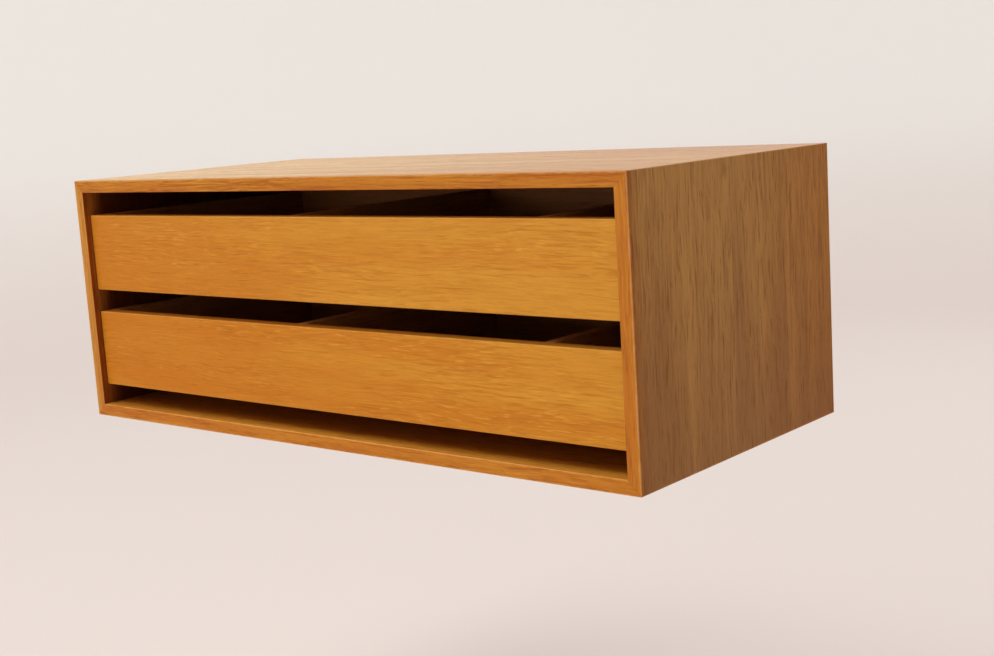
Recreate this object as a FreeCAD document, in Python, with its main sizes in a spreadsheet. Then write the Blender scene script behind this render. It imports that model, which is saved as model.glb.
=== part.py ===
import FreeCAD, Part
import os
from types import SimpleNamespace

import Sketcher

# A wall-hung oak nightstand: a mitred case with two drawers on side runners.
#
# Millimetres, +Z up, +X to the viewer's right, +Y towards the wall. The origin is midway
# between the round entries of the two keyhole hangers, in the plane of the wall.
#
# Case pieces are drawn in the case's own frame, whose origin is the case's front lower
# left corner. Drawer pieces are drawn in the drawer's own frame, whose origin is the
# front lower left corner of the drawer's front. Placements carry both to the wall's frame.

# Driving dimensions

SIZES = {
    # Case
    "case_width": 700.0,
    "case_depth": 320.0,
    "case_height": 250.0,
    "panel_thickness": 12.5,
    "lipping_depth": 4.0,
    "outer_arris_radius": 0.8,
    "inner_arris_radius": 0.5,
    "spline_thickness": 3.0,
    "spline_length": 10.0,
    "spline_inset": 5.5,
    # Back and hanging
    "back_thickness": 5.0,
    "rebate_width": 6.0,
    "rail_height": 45.0,
    "rail_thickness": 8.0,
    "rail_housing_depth": 4.0,
    "plate_inset": 60.0,
    "plate_width": 16.0,
    "plate_height": 40.0,
    "plate_thickness": 2.0,
    "plate_corner_radius": 3.0,
    "keyhole_entry_radius": 5.0,
    "keyhole_slot_radius": 2.5,
    "keyhole_rise": 10.0,
    "plate_screw_inset": 4.5,
    "pocket_width": 12.0,
    "pocket_depth": 8.0,
    # Drawers
    "lower_gap": 21.0,
    "middle_gap": 23.0,
    "top_gap": 24.0,
    "front_setback": 6.0,
    "front_thickness": 13.0,
    "front_side_gap": 1.25,
    "front_arris_radius": 1.0,
    "drawer_side_thickness": 12.0,
    "drawer_back_thickness": 10.0,
    "drawer_rear_gap": 2.5,
    "drawer_arris_radius": 0.8,
    "tail_spacing": 10.5,
    "tail_slope": 0.17,
    "front_lap": 3.5,
    "bottom_thickness": 4.0,
    "bottom_inset": 6.0,
    "bottom_groove_depth": 5.0,
    "partition_thickness": 10.0,
    "partition_housing_depth": 3.0,
    "narrow_compartment": 65.0,
    # Runners
    "runner_height": 10.0,
    "runner_thickness": 7.0,
    "runner_level": 35.0,
    "runner_front_inset": 30.0,
    "runner_rear_gap": 5.0,
    "runner_top_gap": 0.3,
    "runner_bottom_gap": 0.5,
    "runner_side_gap": 0.5,
    "runner_stop_gap": 0.3,
    # Fixings
    "screw_radius": 1.5,
    "screw_head_radius": 3.0,
    "screw_slot_width": 0.8,
    "screw_slot_depth": 0.7,
    "screw_tip_length": 2.5,
    "runner_screw_length": 16.0,
    "runner_screw_inset": 25.0,
    "plate_screw_length": 12.0,
    "bottom_screw_length": 14.0,
    "bottom_screw_inset": 60.0,
    "pin_radius": 0.7,
    "pin_head_radius": 1.4,
    "pin_head_thickness": 0.8,
    "pin_length": 16.0,
    # Clearances
    "loose_gap": 0.1,
    "fixing_gap": 0.1,
    "hole_end_gap": 0.5,
}

TAILS_PER_CORNER = 3
SCREWS_PER_RUNNER = 3
SCREWS_PER_BOTTOM = 3
PINS_PER_SIDE = 3
PINS_PER_LONG_EDGE = 5
SAME_PLACE = 1e-5
X_AXIS, Y_AXIS, Z_AXIS = range(3)


# Lengths as expressions on the sheet


class Length:
    """A length, kept as the text of an expression on the sheet's cells."""

    def __init__(self, text):
        self.text = text

    def __add__(self, other):
        return Length(f"({self.text} + {text_of(other)})")

    def __sub__(self, other):
        return Length(f"({self.text} - {text_of(other)})")

    def __mul__(self, other):
        return Length(f"({self.text} * {text_of(other)})")

    def __rmul__(self, other):
        return Length(f"({text_of(other)} * {self.text})")

    def __truediv__(self, other):
        return Length(f"({self.text} / {text_of(other)})")


def text_of(value):
    """The expression text of a length or of a plain number."""
    if isinstance(value, Length):
        return value.text
    return repr(float(value))


def make_sheet(doc):
    """The spreadsheet of driving dimensions, one named cell each."""
    sheet = doc.addObject("Spreadsheet::Sheet", "sizes")
    for row, (alias, value) in enumerate(SIZES.items(), start=1):
        sheet.set(f"A{row}", alias)
        sheet.set(f"B{row}", str(value))
        sheet.setAlias(f"B{row}", alias)
    doc.recompute()
    return sheet


doc = FreeCAD.newDocument("floating_nightstand")
sheet = make_sheet(doc)
d = SimpleNamespace(**{alias: Length(f"sizes.{alias}") for alias in SIZES})
ZERO = Length("0")


def value_of(length):
    """What a length comes to, in millimetres."""
    return float(sheet.evalExpression(text_of(length)))


# Drawing helpers: every sketch corner, depth and place is bound to the sheet

# For each plane: the role of the body's origin plane, the axis across it, and whether the
# plane's normal points up that axis
PLANES = {
    "XY": ("XY_Plane", Z_AXIS, True),
    "XZ": ("XZ_Plane", Y_AXIS, False),
    "YZ": ("YZ_Plane", X_AXIS, True),
}


def new_body(label, corner=None):
    """A body whose placement is bound to a corner given in the wall's frame."""
    body = doc.addObject("PartDesign::Body", label)
    body.Label = label
    place(body, corner)
    return body


def place(thing, corner, facing=None):
    """Bind an object's position to three lengths, and turn its +Z to face a direction."""
    if facing is not None:
        turn = FreeCAD.Rotation(FreeCAD.Vector(0, 0, 1), FreeCAD.Vector(*facing))
        thing.Placement = FreeCAD.Placement(FreeCAD.Vector(), turn)
    if corner is not None:
        for axis, length in zip("xyz", corner):
            thing.setExpression(f"Placement.Base.{axis}", text_of(length))


def new_sketch(body, name, plane, start):
    """A sketch on one of the body's own origin planes, moved along to start."""
    role, _, normal_up = PLANES[plane]
    sketch = body.newObject("Sketcher::SketchObject", name)
    support = next(item for item in body.Origin.OriginFeatures if item.Role == role)
    sketch.AttachmentSupport = [(support, "")]
    sketch.MapMode = "FlatFace"
    along_normal = start if normal_up else ZERO - start
    sketch.setExpression("AttachmentOffset.Base.z", text_of(along_normal))
    return sketch


def bind(sketch, kind, places, length):
    """Add a driving constraint and tie it to a length."""
    number = sketch.addConstraint(Sketcher.Constraint(kind, *places, value_of(length)))
    sketch.setExpression(f"Constraints[{number}]", text_of(length))


def draw_loop(sketch, corners):
    """A closed loop of straight edges through corners given as pairs of lengths."""
    first = sketch.GeometryCount
    count = len(corners)
    points = [FreeCAD.Vector(value_of(u), value_of(v), 0) for u, v in corners]
    for index in range(count):
        edge = Part.LineSegment(points[index], points[(index + 1) % count])
        sketch.addGeometry(edge, False)
    for index in range(count):
        following = (index + 1) % count
        sketch.addConstraint(Sketcher.Constraint("Coincident", first + index, 2, first + following, 1))
    for index, (u, v) in enumerate(corners):
        bind(sketch, "DistanceX", (-1, 1, first + index, 1), u)
        bind(sketch, "DistanceY", (-1, 1, first + index, 1), v)


def draw_circle(sketch, centre, radius):
    """A circle whose centre and radius are tied to the sheet."""
    u, v = centre
    middle = FreeCAD.Vector(value_of(u), value_of(v), 0)
    circle = Part.Circle(middle, FreeCAD.Vector(0, 0, 1), value_of(radius))
    number = sketch.addGeometry(circle, False)
    bind(sketch, "Radius", (number,), radius)
    bind(sketch, "DistanceX", (-1, 1, number, 3), u)
    bind(sketch, "DistanceY", (-1, 1, number, 3), v)


def extrude(body, kind, name, sketch, plane, length):
    """Pad or pocket a sketch towards the high side of the axis across its plane."""
    normal_up = PLANES[plane][2]
    feature = body.newObject(kind, name)
    feature.Profile = sketch
    feature.setExpression("Length", text_of(length))
    feature.Reversed = normal_up if kind == "PartDesign::Pocket" else not normal_up
    sketch.Visibility = False
    doc.recompute()
    return feature


def pad_outline(body, name, plane, loops, start, length):
    """Solid between start and start + length, with the outline of the loops."""
    sketch = new_sketch(body, f"{name}_outline", plane, start)
    for loop in loops:
        draw_loop(sketch, loop)
    return extrude(body, "PartDesign::Pad", name, sketch, plane, length)


def cut_outline(body, name, plane, loops, start, length):
    """Cut the loops' outline from start to start + length."""
    sketch = new_sketch(body, f"{name}_outline", plane, start)
    for loop in loops:
        draw_loop(sketch, loop)
    return extrude(body, "PartDesign::Pocket", name, sketch, plane, length)


def rectangle(low_u, low_v, wide, tall):
    """The four corners of an upright rectangle."""
    return [
        (low_u, low_v),
        (low_u + wide, low_v),
        (low_u + wide, low_v + tall),
        (low_u, low_v + tall),
    ]


def corner_edges(low_x, low_z, wide, tall):
    """The four front-to-back edges at the corners of a board seen from the front."""
    return [(Y_AXIS, corner) for corner in rectangle(low_x, low_z, wide, tall)]


def pad_block(body, name, low, size):
    """A block from its low corner and its size along X, Y and Z."""
    loop = rectangle(low[0], low[1], size[0], size[1])
    return pad_outline(body, name, "XY", [loop], low[2], size[2])


def cut_block(body, name, low, size):
    """A rectangular cut from its low corner and its size along X, Y and Z."""
    loop = rectangle(low[0], low[1], size[0], size[1])
    return cut_outline(body, name, "XY", [loop], low[2], size[2])


def bore(body, name, plane, centres, radius, start, length):
    """Round holes of one radius from start to start + length."""
    sketch = new_sketch(body, f"{name}_centres", plane, start)
    for centre in centres:
        draw_circle(sketch, centre, radius)
    return extrude(body, "PartDesign::Pocket", name, sketch, plane, length)


def bevel_mouths(body, name, feature, plane, radius, mouth, size):
    """Countersink the holes of one radius where they open at the mouth's plane."""
    axis = PLANES[plane][1]
    wanted = []
    for number, edge in enumerate(feature.Shape.Edges, start=1):
        if not isinstance(edge.Curve, Part.Circle):
            continue
        same_radius = abs(edge.Curve.Radius - value_of(radius)) < SAME_PLACE
        same_plane = abs(edge.Curve.Center[axis] - value_of(mouth)) < SAME_PLACE
        if same_radius and same_plane:
            wanted.append(f"Edge{number}")
    chamfer = body.newObject("PartDesign::Chamfer", name)
    chamfer.Base = (feature, wanted)
    chamfer.setExpression("Size", text_of(size))
    doc.recompute()
    return chamfer


def round_edges(body, name, feature, picks, radius):
    """Round straight edges, each picked by its axis and the place it passes through."""
    wanted = []
    for axis, spot in picks:
        across = [number for number in range(3) if number != axis]
        target = [value_of(length) for length in spot]
        for number, edge in enumerate(feature.Shape.Edges, start=1):
            if not isinstance(edge.Curve, Part.Line):
                continue
            along = abs(edge.Curve.Direction[axis]) > 1 - SAME_PLACE
            middle = [edge.CenterOfMass[side] for side in across]
            near = all(abs(at - want) < SAME_PLACE for at, want in zip(middle, target))
            if along and near:
                wanted.append(f"Edge{number}")
    fillet = body.newObject("PartDesign::Fillet", name)
    fillet.Base = (feature, wanted)
    fillet.setExpression("Radius", text_of(radius))
    doc.recompute()
    return fillet


# Places worked out from the driving dimensions, in the case's frame

inner_left = d.panel_thickness
inner_right = d.case_width - d.panel_thickness
inner_floor = d.panel_thickness
inner_top = d.case_height - d.panel_thickness
inner_width = d.case_width - 2 * d.panel_thickness
inner_height = d.case_height - 2 * d.panel_thickness
back_face = d.case_depth - d.back_thickness
rail_face = back_face - d.rail_thickness
rail_floor = inner_top - d.rail_height
plate_level = inner_top - d.rail_height / 2
entry_level = plate_level - d.keyhole_rise / 2
plate_centres = (d.plate_inset, d.case_width - d.plate_inset)
runner_length = rail_face - d.runner_rear_gap - d.runner_front_inset
hole_radius = d.screw_radius + d.fixing_gap
pin_hole_radius = d.pin_radius + d.fixing_gap
countersink = d.screw_head_radius - d.screw_radius

CASE_CORNER = (ZERO - d.case_width / 2, ZERO - d.case_depth, ZERO - entry_level)

# Places in a drawer's frame. The fronts share the height that the gaps leave.

front_height = (inner_height - d.lower_gap - d.middle_gap - d.top_gap) / 2
drawer_width = inner_width - 2 * d.front_side_gap
drawer_depth = rail_face - d.drawer_rear_gap - d.front_setback
drawer_inner_width = drawer_width - 2 * d.drawer_side_thickness
back_inner = drawer_depth - d.drawer_back_thickness
tail_tip = d.front_lap
bottom_groove_height = d.bottom_thickness + 2 * d.loose_gap
bottom_top = d.bottom_inset + bottom_groove_height
wide_compartment = (drawer_inner_width - 2 * d.partition_thickness - d.narrow_compartment) / 2
middle_partition_left = d.drawer_side_thickness + wide_compartment
right_partition_left = middle_partition_left + d.partition_thickness + wide_compartment
runner_groove_depth = d.runner_thickness + d.runner_side_gap - d.front_side_gap
runner_groove_start = d.runner_front_inset - d.front_setback - d.runner_stop_gap
runner_groove_floor = d.runner_level - d.runner_bottom_gap
runner_groove_height = d.runner_height + d.runner_bottom_gap + d.runner_top_gap

DRAWER_LEVELS = {
    "lower": inner_floor + d.lower_gap,
    "upper": inner_floor + d.lower_gap + front_height + d.middle_gap,
}


def moved(corner, offset):
    """A corner moved by three lengths."""
    return tuple(start + step for start, step in zip(corner, offset))


def spread(low, high, count):
    """Middles of equal stretches between two lengths."""
    return [low + (high - low) * ((index + 0.5) / count) for index in range(count)]


# Fixings: one master each, placed many times


def turned_profile(body, name, profile):
    """Spin a half outline, given as pairs of radius and height, about the body's Z."""
    sketch = new_sketch(body, f"{name}_outline", "XZ", ZERO)
    draw_loop(sketch, profile)
    turned = body.newObject("PartDesign::Revolution", name)
    turned.Profile = sketch
    turned.ReferenceAxis = (sketch, ["V_Axis"])
    turned.Angle = 360
    sketch.Visibility = False
    doc.recompute()
    return turned


def screw_master(label, length):
    """A slotted countersunk wood screw, head's face at the origin, point down -Z."""
    body = new_body(label)
    profile = [
        (ZERO, ZERO - length),
        (d.screw_radius, ZERO - length + d.screw_tip_length),
        (d.screw_radius, ZERO - countersink),
        (d.screw_head_radius, ZERO),
        (ZERO, ZERO),
    ]
    turned_profile(body, "turned", profile)
    slot_low = (ZERO - d.screw_head_radius, ZERO - d.screw_slot_width / 2, ZERO - d.screw_slot_depth)
    slot_size = (2 * d.screw_head_radius, d.screw_slot_width, d.screw_slot_depth)
    cut_block(body, "slot", slot_low, slot_size)
    return body


def pin_master(label):
    """A flat-headed panel pin, head's face at the origin, point down -Z."""
    body = new_body(label)
    profile = [
        (ZERO, ZERO - d.pin_length),
        (d.pin_radius, ZERO - d.pin_length + 2 * d.pin_radius),
        (d.pin_radius, ZERO - d.pin_head_thickness),
        (d.pin_head_radius, ZERO - d.pin_head_thickness),
        (d.pin_head_radius, ZERO),
        (ZERO, ZERO),
    ]
    turned_profile(body, "turned", profile)
    return body


def fixing_group(label, master, spots):
    """Copies of a master at (corner, facing) pairs, as one group of separate solids."""
    links = []
    for number, (corner, facing) in enumerate(spots, start=1):
        link = doc.addObject("App::Link", f"{label}_{number}")
        link.LinkedObject = master
        place(link, corner, facing)
        links.append(link)
    group = doc.addObject("Part::Compound", label)
    group.Label = label
    group.Links = links
    return group


# Where the fixings go

runner_screw_depths = [
    d.runner_front_inset + d.runner_screw_inset
    + (runner_length - 2 * d.runner_screw_inset) * (index / (SCREWS_PER_RUNNER - 1))
    for index in range(SCREWS_PER_RUNNER)
]
runner_screw_levels = {
    name: level + d.runner_level + d.runner_height / 2 for name, level in DRAWER_LEVELS.items()
}
plate_screw_reach = d.plate_height / 2 - d.plate_screw_inset
plate_screw_levels = [plate_level - plate_screw_reach, plate_level + plate_screw_reach]
plate_screw_spots = [(x, z) for x in plate_centres for z in plate_screw_levels]
bottom_screw_places = [
    d.bottom_screw_inset + (drawer_width - 2 * d.bottom_screw_inset) * (index / (SCREWS_PER_BOTTOM - 1))
    for index in range(SCREWS_PER_BOTTOM)
]
bottom_screw_depth = drawer_depth - d.drawer_back_thickness / 2
pin_inset = d.rebate_width / 2
side_pin_levels = spread(inner_floor, rail_floor, PINS_PER_SIDE)
long_pin_places = spread(inner_left, inner_right, PINS_PER_LONG_EDGE)
pin_spots = {
    "left": [(inner_left - pin_inset, z) for z in side_pin_levels],
    "right": [(inner_right + pin_inset, z) for z in side_pin_levels],
    "bottom": [(x, inner_floor - pin_inset) for x in long_pin_places],
    "top": [(x, inner_top + pin_inset) for x in long_pin_places],
}
pin_hole_length = d.pin_length - d.back_thickness + d.hole_end_gap


# The case

CASE_CORNERS = {
    "top_left": (ZERO, d.case_height, 1, -1),
    "top_right": (d.case_width, d.case_height, -1, -1),
    "bottom_left": (ZERO, ZERO, 1, 1),
    "bottom_right": (d.case_width, ZERO, -1, 1),
}

ENDS_OF_PANEL = {
    "top": ("top_left", "top_right"),
    "bottom": ("bottom_left", "bottom_right"),
    "left": ("top_left", "bottom_left"),
    "right": ("top_right", "bottom_right"),
}

CASE_OUTLINES = {
    "top": [
        (ZERO, d.case_height),
        (inner_left, inner_top),
        (inner_right, inner_top),
        (d.case_width, d.case_height),
    ],
    "bottom": [
        (ZERO, ZERO),
        (d.case_width, ZERO),
        (inner_right, inner_floor),
        (inner_left, inner_floor),
    ],
    "left": [
        (ZERO, ZERO),
        (inner_left, inner_floor),
        (inner_left, inner_top),
        (ZERO, d.case_height),
    ],
    "right": [
        (d.case_width, ZERO),
        (d.case_width, d.case_height),
        (inner_right, inner_top),
        (inner_right, inner_floor),
    ],
}

HALF_ROOT = 0.5**0.5


def spline_loop(corner_name, long_gap, thin_gap):
    """A tongue seen end on: a turned rectangle centred on the mitre of one corner."""
    x, z, inward_x, inward_z = CASE_CORNERS[corner_name]
    along = d.panel_thickness - d.spline_inset * HALF_ROOT
    centre_x = x + along * inward_x
    centre_z = z + along * inward_z
    reach = (d.spline_length / 2 - long_gap) * HALF_ROOT
    half_thick = (d.spline_thickness / 2 - thin_gap) * HALF_ROOT
    steps = [(-1, -1), (1, -1), (1, 1), (-1, 1)]
    loop = []
    for end, side in steps:
        step_x = reach * end + half_thick * side
        step_z = reach * -end + half_thick * side
        loop.append((centre_x + step_x * inward_x, centre_z + step_z * inward_z))
    return loop


def sanded_envelope():
    """The whole case as one block with every outer arris eased."""
    body = new_body("case_envelope", CASE_CORNER)
    block = pad_block(body, "block", (ZERO, ZERO, ZERO), (d.case_width, d.case_depth, d.case_height))
    eased = body.newObject("PartDesign::Fillet", "eased")
    eased.Base = (block, ["Edge1"])
    eased.UseAllEdges = True
    eased.setExpression("Radius", text_of(d.outer_arris_radius))
    doc.recompute()
    return body


def sand(label, blank, envelope):
    """A case piece, eased where it is part of the case's outside."""
    piece = doc.addObject("Part::Common", label)
    piece.Label = label
    piece.Base = blank
    piece.Tool = envelope
    return piece


def rebate_cut(side):
    """Low corner and size of the rebate that the back panel sits in, on one panel."""
    long_x = inner_width + 2 * d.rebate_width
    long_z = inner_top - inner_floor + 2 * d.rebate_width
    low_x = inner_left - d.rebate_width
    low_z = inner_floor - d.rebate_width
    cuts = {
        "left": ((low_x, back_face, low_z), (d.rebate_width, d.back_thickness, long_z)),
        "right": ((inner_right, back_face, low_z), (d.rebate_width, d.back_thickness, long_z)),
        "bottom": ((low_x, back_face, low_z), (long_x, d.back_thickness, d.rebate_width)),
        "top": ((low_x, back_face, inner_top), (long_x, d.back_thickness, d.rebate_width)),
    }
    return cuts[side]


def case_panel(side, label, envelope):
    """One mitred board with its tongue grooves, rebate, housings and pilot holes."""
    blank = new_body(f"{label}_blank", CASE_CORNER)
    board_depth = d.case_depth - d.lipping_depth
    pad_outline(blank, "board", "XZ", [CASE_OUTLINES[side]], d.lipping_depth, board_depth)
    grooves = [spline_loop(end, ZERO, ZERO) for end in ENDS_OF_PANEL[side]]
    cut_outline(blank, "tongue_grooves", "XZ", grooves, d.lipping_depth, back_face - d.lipping_depth)
    cut_block(blank, "rebate", *rebate_cut(side))
    bore(
        blank, "pin_holes", "XZ", pin_spots[side], pin_hole_radius,
        back_face - pin_hole_length, pin_hole_length,
    )
    if side in ("left", "right"):
        add_side_joinery(blank, side)
    return sand(label, blank, envelope)


def add_side_joinery(blank, side):
    """The housing for the hanging rail and the pilot holes for the runners' screws."""
    housing_x = inner_left - d.rail_housing_depth if side == "left" else inner_right
    cut_block(
        blank, "rail_housing",
        (housing_x, rail_face, rail_floor),
        (d.rail_housing_depth, d.rail_thickness, d.rail_height),
    )
    pilot_length = d.runner_screw_length - d.runner_thickness + d.hole_end_gap
    pilot_start = inner_left - pilot_length if side == "left" else inner_right
    centres = [(y, z) for z in runner_screw_levels.values() for y in runner_screw_depths]
    bore(blank, "runner_pilots", "YZ", centres, hole_radius, pilot_start, pilot_length)


def lipping(side, label, envelope):
    """The solid strip on a panel's front edge, mitred like the panel."""
    blank = new_body(f"{label}_blank", CASE_CORNER)
    strip = pad_outline(blank, "strip", "XZ", [CASE_OUTLINES[side]], ZERO, d.lipping_depth)
    inner_edges = {
        "top": (X_AXIS, (ZERO, inner_top)),
        "bottom": (X_AXIS, (ZERO, inner_floor)),
        "left": (Z_AXIS, (inner_left, ZERO)),
        "right": (Z_AXIS, (inner_right, ZERO)),
    }
    round_edges(blank, "eased_inner_arris", strip, [inner_edges[side]], d.inner_arris_radius)
    return sand(label, blank, envelope)


def corner_spline(corner_name):
    """The loose tongue glued across one mitre."""
    body = new_body(f"{corner_name}_spline", CASE_CORNER)
    loop = spline_loop(corner_name, d.loose_gap, d.loose_gap / 2)
    length = back_face - d.lipping_depth - 2 * d.loose_gap
    pad_outline(body, "tongue", "XZ", [loop], d.lipping_depth + d.loose_gap, length)
    return body


def head_pocket(x, depth_start, depth_length):
    """Room behind one keyhole for the head of the wall screw."""
    side_margin = d.pocket_width / 2
    low_z = entry_level - side_margin
    tall = d.keyhole_rise + 2 * side_margin
    return (x - side_margin, depth_start, low_z), (d.pocket_width, depth_length, tall)


def back_panel():
    """Thin plywood in the case's rebates, recessed for the hanger plates."""
    body = new_body("back_panel", CASE_CORNER)
    low_x = inner_left - d.rebate_width + d.loose_gap
    low_z = inner_floor - d.rebate_width + d.loose_gap
    wide = inner_width + 2 * (d.rebate_width - d.loose_gap)
    tall = inner_top - inner_floor + 2 * (d.rebate_width - d.loose_gap)
    pad_block(body, "sheet", (low_x, back_face, low_z), (wide, d.back_thickness, tall))
    recess_wide = d.plate_width + 2 * d.loose_gap
    recess_tall = d.plate_height + 2 * d.loose_gap
    plate_face = d.case_depth - d.plate_thickness
    for number, x in enumerate(plate_centres, start=1):
        low = (x - recess_wide / 2, plate_face, plate_level - recess_tall / 2)
        size = (recess_wide, d.plate_thickness, recess_tall)
        recess = cut_block(body, f"plate_recess_{number}", low, size)
        corners = corner_edges(low[0], low[2], recess_wide, recess_tall)
        radius = d.plate_corner_radius + d.loose_gap
        round_edges(body, f"plate_recess_corners_{number}", recess, corners, radius)
        pocket_low, pocket_size = head_pocket(x, back_face, d.back_thickness - d.plate_thickness)
        cut_block(body, f"head_pocket_{number}", pocket_low, pocket_size)
    bore(
        body, "plate_screw_holes", "XZ", plate_screw_spots, hole_radius,
        back_face, d.back_thickness - d.plate_thickness,
    )
    spots = [spot for group in pin_spots.values() for spot in group]
    bore(body, "pin_holes", "XZ", spots, pin_hole_radius, back_face, d.back_thickness)
    head_radius = d.pin_head_radius + d.fixing_gap
    head_start = d.case_depth - d.pin_head_thickness
    bore(body, "pin_heads", "XZ", spots, head_radius, head_start, d.pin_head_thickness)
    return body


def hanging_rail():
    """The strip under the top that the hanger plates are screwed through to."""
    body = new_body("hanging_rail", CASE_CORNER)
    low = (inner_left - d.rail_housing_depth, rail_face, rail_floor)
    size = (inner_width + 2 * d.rail_housing_depth, d.rail_thickness, d.rail_height)
    pad_block(body, "strip", low, size)
    depth_in_rail = d.pocket_depth - (d.back_thickness - d.plate_thickness)
    for number, x in enumerate(plate_centres, start=1):
        pocket_low, pocket_size = head_pocket(x, back_face - depth_in_rail, depth_in_rail)
        cut_block(body, f"head_pocket_{number}", pocket_low, pocket_size)
    bore(body, "plate_screw_holes", "XZ", plate_screw_spots, hole_radius, rail_face, d.rail_thickness)
    return body


def hanger_plate(label, x):
    """A steel keyhole plate, flush in the back: round entry below, slot above."""
    body = new_body(label, moved(CASE_CORNER, (x, d.case_depth - d.plate_thickness, plate_level)))
    half_wide = d.plate_width / 2
    half_tall = d.plate_height / 2
    loop = rectangle(ZERO - half_wide, ZERO - half_tall, d.plate_width, d.plate_height)
    plate = pad_outline(body, "plate", "XZ", [loop], ZERO, d.plate_thickness)
    corners = corner_edges(ZERO - half_wide, ZERO - half_tall, d.plate_width, d.plate_height)
    round_edges(body, "rounded_corners", plate, corners, d.plate_corner_radius)
    half_rise = d.keyhole_rise / 2
    entry = (ZERO, ZERO - half_rise)
    slot_end = (ZERO, half_rise)
    bore(body, "entry", "XZ", [entry], d.keyhole_entry_radius, ZERO, d.plate_thickness)
    bore(body, "slot_end", "XZ", [slot_end], d.keyhole_slot_radius, ZERO, d.plate_thickness)
    slot = rectangle(
        ZERO - d.keyhole_slot_radius, ZERO - half_rise, 2 * d.keyhole_slot_radius, d.keyhole_rise
    )
    cut_outline(body, "slot", "XZ", [slot], ZERO, d.plate_thickness)
    screw_centres = [(ZERO, ZERO - plate_screw_reach), (ZERO, plate_screw_reach)]
    holes = bore(body, "screw_holes", "XZ", screw_centres, hole_radius, ZERO, d.plate_thickness)
    bevel_mouths(body, "countersinks", holes, "XZ", hole_radius, d.plate_thickness, countersink)
    return body


def runner(level_name, side):
    """A hardwood strip screwed to a side panel, which carries one edge of a drawer."""
    body = new_body(f"{level_name}_{side}_runner", CASE_CORNER)
    low_x = inner_left if side == "left" else inner_right - d.runner_thickness
    low_z = DRAWER_LEVELS[level_name] + d.runner_level
    size = (d.runner_thickness, runner_length, d.runner_height)
    pad_block(body, "strip", (low_x, d.runner_front_inset, low_z), size)
    centres = [(y, runner_screw_levels[level_name]) for y in runner_screw_depths]
    holes = bore(body, "screw_holes", "YZ", centres, hole_radius, low_x, d.runner_thickness)
    mouth = low_x + d.runner_thickness if side == "left" else low_x
    bevel_mouths(body, "countersinks", holes, "YZ", hole_radius, mouth, countersink)
    return body


def runner_screw_spots():
    """Places of the runners' screws, heads flush with the runners' inner faces."""
    spots = []
    for z in runner_screw_levels.values():
        for y in runner_screw_depths:
            left_face = inner_left + d.runner_thickness
            right_face = inner_right - d.runner_thickness
            spots.append((moved(CASE_CORNER, (left_face, y, z)), (1, 0, 0)))
            spots.append((moved(CASE_CORNER, (right_face, y, z)), (-1, 0, 0)))
    return spots


# The drawers


def tail_loops(shoulder, tip, low, high):
    """The dovetails along one corner, seen from the side: narrow at the shoulder."""
    reach = shoulder - tip if value_of(shoulder) > value_of(tip) else tip - shoulder
    narrow = ((high - low) / TAILS_PER_CORNER - d.tail_spacing) / 2
    wide = narrow + d.tail_slope * reach
    loops = []
    for centre in spread(low, high, TAILS_PER_CORNER):
        loops.append([
            (shoulder, centre - narrow),
            (tip, centre - wide),
            (tip, centre + wide),
            (shoulder, centre + narrow),
        ])
    return loops


front_tails = tail_loops(d.front_thickness, tail_tip, ZERO, front_height)
back_tails = tail_loops(back_inner, drawer_depth, bottom_top, front_height)


def drawer_side_outline():
    """A drawer side seen from the side, with its dovetails at both ends."""
    outline = [(d.front_thickness, ZERO)]
    for tail in front_tails:
        outline.extend(tail)
    outline.append((d.front_thickness, front_height))
    outline.append((back_inner, front_height))
    for tail in reversed(back_tails):
        outline.extend(reversed(tail))
    outline.append((back_inner, bottom_top))
    outline.append((drawer_depth, bottom_top))
    outline.append((drawer_depth, ZERO))
    return outline


def drawer_corner(level_name):
    """The drawer's own origin, in the wall's frame."""
    offset = (inner_left + d.front_side_gap, d.front_setback, DRAWER_LEVELS[level_name])
    return moved(CASE_CORNER, offset)


def cut_runner_groove(body, side):
    """The groove that rides on a runner, open at the drawer's back."""
    low_x = ZERO if side == "left" else drawer_width - runner_groove_depth
    low = (low_x, runner_groove_start, runner_groove_floor)
    size = (runner_groove_depth, drawer_depth - runner_groove_start, runner_groove_height)
    return cut_block(body, f"{side}_runner_groove", low, size)


def drawer_side(level_name, side):
    """A side with dovetails, the bottom's groove inside and the runner's outside."""
    body = new_body(f"{level_name}_drawer_{side}_side", drawer_corner(level_name))
    low_x = ZERO if side == "left" else drawer_width - d.drawer_side_thickness
    pad_outline(body, "board", "YZ", [drawer_side_outline()], low_x, d.drawer_side_thickness)
    inner_x = d.drawer_side_thickness - d.bottom_groove_depth if side == "left" else low_x
    cut_block(
        body, "bottom_groove",
        (inner_x, tail_tip, d.bottom_inset),
        (d.bottom_groove_depth, drawer_depth - tail_tip, bottom_groove_height),
    )
    groove = cut_runner_groove(body, side)
    faces = (low_x, low_x + d.drawer_side_thickness)
    top_edges = [(Y_AXIS, (x, front_height)) for x in faces]
    round_edges(body, "eased_top", groove, top_edges, d.drawer_arris_radius)
    return body


def cut_tail_sockets(body, tails):
    """Sockets for the sides' dovetails at both ends of a front or back."""
    cut_outline(body, "left_sockets", "YZ", tails, ZERO, d.drawer_side_thickness)
    right_start = drawer_width - d.drawer_side_thickness
    cut_outline(body, "right_sockets", "YZ", tails, right_start, d.drawer_side_thickness)


def partition_lefts():
    """The two partitions' left faces, by the partitions' names."""
    return {"middle": middle_partition_left, "right": right_partition_left}


def cut_partition_housings(body, low_y):
    """Housings for both partitions, open at the top."""
    for name, x in partition_lefts().items():
        cut_block(
            body, f"{name}_partition_housing",
            (x, low_y, bottom_top),
            (d.partition_thickness, d.partition_housing_depth, front_height - bottom_top),
        )


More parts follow.
